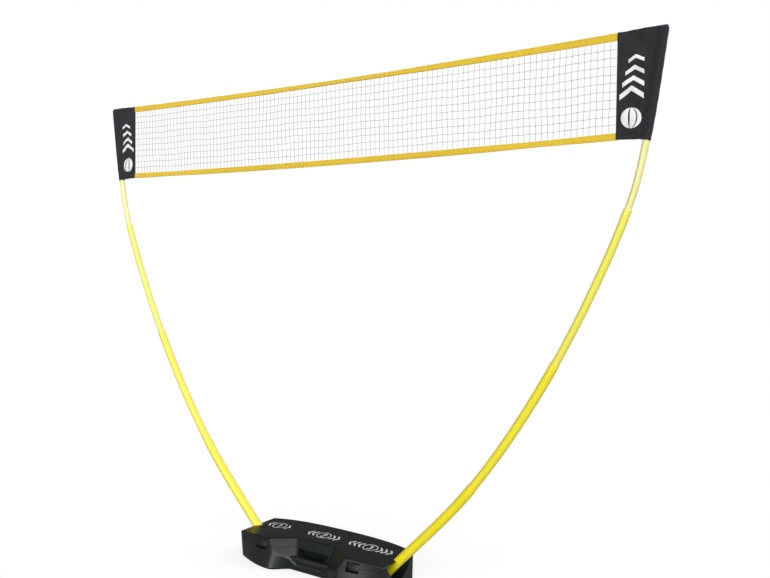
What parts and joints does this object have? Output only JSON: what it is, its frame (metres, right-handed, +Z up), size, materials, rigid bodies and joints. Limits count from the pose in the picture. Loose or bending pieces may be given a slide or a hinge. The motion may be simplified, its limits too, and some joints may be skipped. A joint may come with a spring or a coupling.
{
  "type": "volleyball net on poles",
  "caption": "Portable volleyball net held by two bowed telescoping poles that stand in the ends of their own carrying case, with a hinged lid and front latches.",
  "frame": {"origin": "on the ground under the middle of the case, midway between the two pole tips", "axes": "+X along the net towards the right pole as seen from the carry handle's side, +Y away from the carry handle towards the lid hinge, +Z up"},
  "size_m": [3.0224, 0.34, 2.2625],
  "materials": {
    "case_plastic": "satin moulded polypropylene, black with a slight green cast",
    "grip_plastic": "matt moulded plastic",
    "latch_plastic": "smooth moulded plastic",
    "rubber": "matt moulded rubber",
    "steel": "drawn wire, bright",
    "pole_tube_1": "glossy coated fibreglass tube, strong yellow",
    "pole_tube_2": "glossy coated fibreglass tube, yellow",
    "pole_tube_3": "glossy coated fibreglass tube, lighter yellow",
    "pole_tube_4": "glossy coated fibreglass tube, pale yellow",
    "tape_cloth": "woven polyester webbing, golden yellow",
    "panel_cloth": "woven polyester, near black",
    "net_twine": "knotted polyester twine, dark grey"
  },
  "bodies": {
    "case": {"case_body": "case_plastic", "carry_handle": "grip_plastic", "pole_socket_left": "grip_plastic", "pole_socket_right": "grip_plastic", "front_foot_left": "rubber", "front_foot_right": "rubber", "back_foot_left": "rubber", "back_foot_right": "rubber", "pole_foot_plug_left": "rubber", "pole_foot_plug_right": "rubber", "pole_tip_cap_left": "rubber", "pole_tip_cap_right": "rubber", "hinge_pin_left": "steel", "hinge_pin_right": "steel", "pole_section_1_left": "pole_tube_1", "pole_section_1_right": "pole_tube_1", "pole_section_2_left": "pole_tube_2", "pole_section_2_right": "pole_tube_2", "pole_section_3_left": "pole_tube_3", "pole_section_3_right": "pole_tube_3", "pole_section_4_left": "pole_tube_4", "pole_section_4_right": "pole_tube_4", "top_tape": "tape_cloth", "bottom_tape": "tape_cloth", "end_panel_left": "panel_cloth", "end_panel_right": "panel_cloth", "net_mesh": "net_twine"},
    "lid": {"case_lid": "case_plastic", "latch_pin_left": "steel", "latch_pin_right": "steel"},
    "left_latch": {"latch_left": "latch_plastic"},
    "right_latch": {"latch_right": "latch_plastic"}
  },
  "joints": [
    {"name": "lid_hinge", "type": "hinge", "parent": "case", "child": "lid", "pos_m": [0, 0.165, 0.1], "axis": [-1, 0, 0], "range_deg": [0, 105]},
    {"name": "left_latch_pivot", "type": "hinge", "parent": "lid", "child": "left_latch", "pos_m": [-0.262, -0.1255, 0.117], "axis": [-1, 0, 0], "range_deg": [0, 90]},
    {"name": "right_latch_pivot", "type": "hinge", "parent": "lid", "child": "right_latch", "pos_m": [0.262, -0.1255, 0.117], "axis": [-1, 0, 0], "range_deg": [0, 90]}
  ]
}
